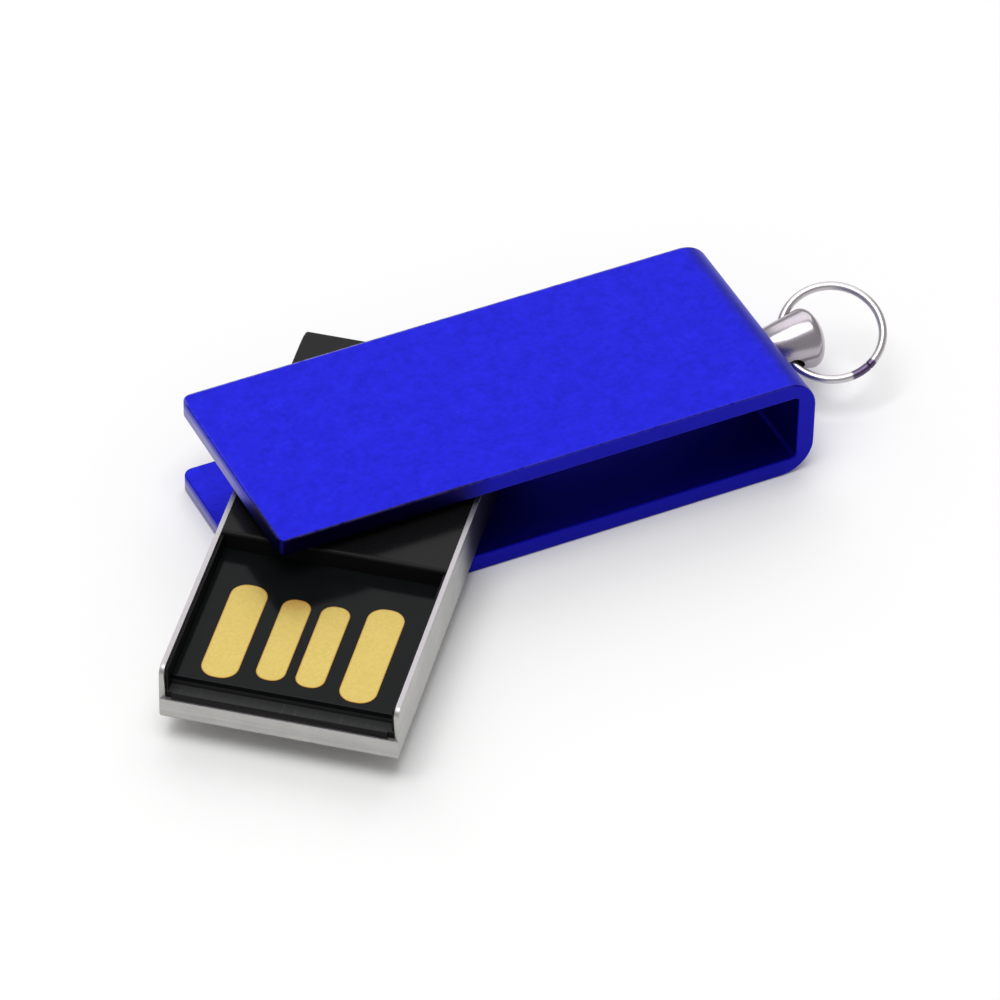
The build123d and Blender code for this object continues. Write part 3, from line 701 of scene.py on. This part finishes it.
stud_mesh = bmesh.new()
tip = stud_mesh.verts.new((stud_high.x, 0, stud_axis_z))
shoulder = arc_to(stud_mesh, tip, STUD_LENGTH - CROWN_RADIUS, 0, -CROWN_ARC, 14)
flare_end = arc_to(stud_mesh, shoulder, *RIM_CENTRE, -RIM_ARC, 10)
outline_end = flare_end
for distance, radius in (
    (FOOT_BEVEL, STUD_BASE),
    (STUD_CLEARANCE, STUD_BASE - STUD_CLEARANCE),
    (STUD_CLEARANCE, SHANK_RADIUS),
    (RIVET_FACE, SHANK_RADIUS),
    (RIVET_FACE, RIVET_RADIUS),
    (RIVET_FACE - RIVET_LAND, RIVET_RADIUS),
    (RIVET_FACE - RIVET_HEAD, RIVET_END_RADIUS),
    (RIVET_FACE - RIVET_HEAD, 0),
):
    outline_end = line_to(stud_mesh, outline_end, distance, radius)
bmesh.ops.spin(
    stud_mesh, geom=stud_mesh.verts[:] + stud_mesh.edges[:], cent=(0, 0, stud_axis_z),
    axis=(1, 0, 0), angle=2 * pi, steps=TURNED_STEPS, use_merge=True, use_duplicate=False,
)
bmesh.ops.remove_doubles(stud_mesh, verts=stud_mesh.verts, dist=NEARLY / 10)
bmesh.ops.recalc_face_normals(stud_mesh, faces=stud_mesh.faces)

drill_mesh = bmesh.new()
hole_turn = hole_axis.to_track_quat("Z", "X").to_matrix().to_4x4()
bmesh.ops.create_cone(
    drill_mesh, cap_ends=True, segments=DRILL_STEPS, radius1=CROSS_HOLE, radius2=CROSS_HOLE,
    depth=4 * HEAD_RADIUS, matrix=Matrix.Translation(hole_centre) @ hole_turn,
)


def drilled(bm, drill):
    """Cuts one closed mesh out of another and returns what is left."""
    blanks = []
    for part in (bm, drill):
        blank = bpy.data.objects.new("blank", bpy.data.meshes.new("blank"))
        part.to_mesh(blank.data)
        part.free()
        bpy.context.scene.collection.objects.link(blank)
        blanks.append(blank)
    cut = blanks[0].modifiers.new("cut", "BOOLEAN")
    cut.solver = "EXACT"
    cut.object = blanks[1]
    left = bmesh.new()
    left.from_object(blanks[0], bpy.context.evaluated_depsgraph_get())
    for blank in blanks:
        bpy.data.objects.remove(blank)
    return left


stud_mesh = drilled(stud_mesh, drill_mesh)
ring_stud = finished(stud_mesh, "turned_stud", "stud", ["ring_stud"])

chrome, place = new_finish("bright_chrome", Metallic=1.0)
along = place.parts()[0]
turning = along.node("ShaderNodeCombineXYZ", {}, {0: along}).noise(30000, 2.0, 0.5)
haze = place.noise(1400, 3.0, 0.6)
pits = place.noise(16000, 2.0, 0.5).step(0.66, 0.72)
dress(chrome, ring_stud,
      Base_Color=(haze * 0.7 + pits * 0.3).mix(rgb(0.49, 0.455, 0.50), rgb(0.40, 0.36, 0.405)),
      Roughness=0.19 + haze * 0.10 + pits * 0.1,
      Normal=turning.bump(0.25e-6, 0.6, over=haze.bump(1.2e-6, 0.3)))

# ---------------------------------------------------------------------------------------------
# Key ring. One turn of round steel wire, bent through the stud's hole with its ends butted, and
# plated bright. Its joint has worked round to the lower right, where a dark stretch is partly tarnish and
# partly painted dark reflection.
# ---------------------------------------------------------------------------------------------
RING_RADIUS = 2.66 * MM
WIRE_RADIUS = 0.223 * MM
JOINT_ANGLE = radians(-60)
JOINT_GAP = radians(1.2)
CUT_EDGE = 0.03 * MM

ring_low, ring_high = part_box("key_ring")
ring_centre = (ring_low + ring_high) / 2
ring_way = ring_centre - hole_centre
ring_way = (ring_way - hole_axis * ring_way.dot(hole_axis)).normalized()
ring_normal = ring_way.cross(hole_axis)
ring_centre = hole_centre + ring_way * (ring_centre - hole_centre).dot(ring_way)
joint_way = ring_way * cos(JOINT_ANGLE) + hole_axis * sin(JOINT_ANGLE)
wire_frame = Matrix((joint_way, -ring_normal, ring_normal.cross(joint_way))).transposed().to_4x4()

ring_mesh = bmesh.new()
bmesh.ops.create_circle(
    ring_mesh, cap_ends=True, segments=32, radius=WIRE_RADIUS,
    matrix=Matrix.Translation(ring_centre + joint_way * RING_RADIUS) @ wire_frame,
)
bmesh.ops.spin(
    ring_mesh, geom=ring_mesh.verts[:] + ring_mesh.edges[:] + ring_mesh.faces[:], cent=ring_centre,
    axis=ring_normal, angle=2 * pi - JOINT_GAP, steps=160, use_merge=False, use_duplicate=False,
)
round_off(ring_mesh, sharp_edges(ring_mesh), CUT_EDGE, 3)
key_ring = finished(ring_mesh, "bent_ring", "ring", ["key_ring"])

RING_TARNISH_AND_REFLECTION = rgb(0.060, 0.030, 0.110)
TARNISH_AND_REFLECTION_ANGLE = radians(-68)
tarnish_and_reflection_way = ring_way * cos(TARNISH_AND_REFLECTION_ANGLE) + hole_axis * sin(TARNISH_AND_REFLECTION_ANGLE)

ring_plating, place = new_finish("plated_ring_wire", Metallic=1.0)
drawn = place.noise(6000, 3.0, 0.6)
haze = place.noise(1100, 3.0, 0.6)
nicks = place.noise(9000, 2.0, 0.5).step(0.66, 0.74)
outward = place.vector("SUBTRACT", ring_centre).vector("NORMALIZE")
# Partly tarnish and partly a painted dark reflection, on a stretch of the ring beside its joint.
tarnish = (outward.vector("DOT_PRODUCT", tarnish_and_reflection_way, "Value") + haze * 0.012).step(0.962, 0.978)
ring_tone = (haze * 0.7 + nicks * 0.3).mix(rgb(0.62, 0.60, 0.61), rgb(0.50, 0.475, 0.50))
dress(ring_plating, key_ring,
      Base_Color=(tarnish * 0.9).mix(ring_tone, RING_TARNISH_AND_REFLECTION),
      Roughness=0.26 + drawn * 0.12 + nicks * 0.1,
      Normal=drawn.bump(0.9e-6, 0.6, over=nicks.bump(2e-6, 0.4)))

# ---------------------------------------------------------------------------------------------
# Table, lights and camera. A white table under two soft boxes in a dim room. The one behind the
# drive is what its flat tops mirror. A long lens looks down at the open end from the near side.
# ---------------------------------------------------------------------------------------------
AIM = Vector((4.685, -4.754, 3.0)) * MM
CAMERA_DISTANCE = 360.3 * MM
CAMERA_AZIMUTH = radians(-26.62)
CAMERA_TILT = radians(41.60)
CAMERA_ROLL = radians(1.27)
LENS = 257.3
SENSOR = 36.0
ROOM_LIGHT = rgb(1.0, 0.985, 0.98)
ROOM_STRENGTH = 0.42
TABLE_HALF_SIDE = 1.5

table_mesh = bmesh.new()
bmesh.ops.create_grid(table_mesh, x_segments=8, y_segments=8, size=TABLE_HALF_SIDE)
bmesh.ops.translate(table_mesh, vec=(0, 0, cover_low.z - 2 * NEARLY), verts=table_mesh.verts)
table_data = bpy.data.meshes.new("table")
table_mesh.to_mesh(table_data)
table_mesh.free()
table = bpy.data.objects.new("table", table_data)
bpy.context.scene.collection.objects.link(table)
white_table, place = new_finish("white_table", Roughness=0.6, Specular_IOR_Level=0.2)
dress(white_table, table, Base_Color=place.noise(14.0).mix(rgb(0.86, 0.86, 0.86), rgb(0.90, 0.90, 0.90)))


def soft_box(name, away, size, brightness):
    """A rectangular lamp that faces the drive from a place, with a brightness all over its face."""
    light = bpy.data.lights.new(name, "AREA")
    light.shape = "RECTANGLE"
    light.size, light.size_y = size
    light.energy = brightness * pi * size[0] * size[1]
    lamp = bpy.data.objects.new(name, light)
    lamp.location = away
    lamp.rotation_euler = Vector(away).to_track_quat("Z", "Y").to_euler()
    bpy.context.scene.collection.objects.link(lamp)


soft_box("behind", (0.20, 0.42, 0.46), (0.70, 0.55), 1.25)
soft_box("overhead", (-0.10, -0.05, 0.60), (0.40, 0.40), 4.6)

room = bpy.data.worlds.new("room")
room.use_nodes = True
room.node_tree.nodes["Background"].inputs["Color"].default_value = ROOM_LIGHT
room.node_tree.nodes["Background"].inputs["Strength"].default_value = ROOM_STRENGTH
bpy.context.scene.world = room

camera_back = Vector((
    sin(CAMERA_AZIMUTH) * cos(CAMERA_TILT), -cos(CAMERA_AZIMUTH) * cos(CAMERA_TILT), sin(CAMERA_TILT)
))
camera_data = bpy.data.cameras.new("camera")
camera_data.lens = LENS
camera_data.sensor_width = SENSOR
camera = bpy.data.objects.new("camera", camera_data)
camera.matrix_world = (
    Matrix.Translation(AIM + camera_back * CAMERA_DISTANCE)
    @ camera_back.to_track_quat("Z", "Y").to_matrix().to_4x4()
    @ Matrix.Rotation(CAMERA_ROLL, 4, "Z")
)
bpy.context.scene.collection.objects.link(camera)
bpy.context.scene.camera = camera
bpy.context.scene.view_settings.view_transform = "Standard"
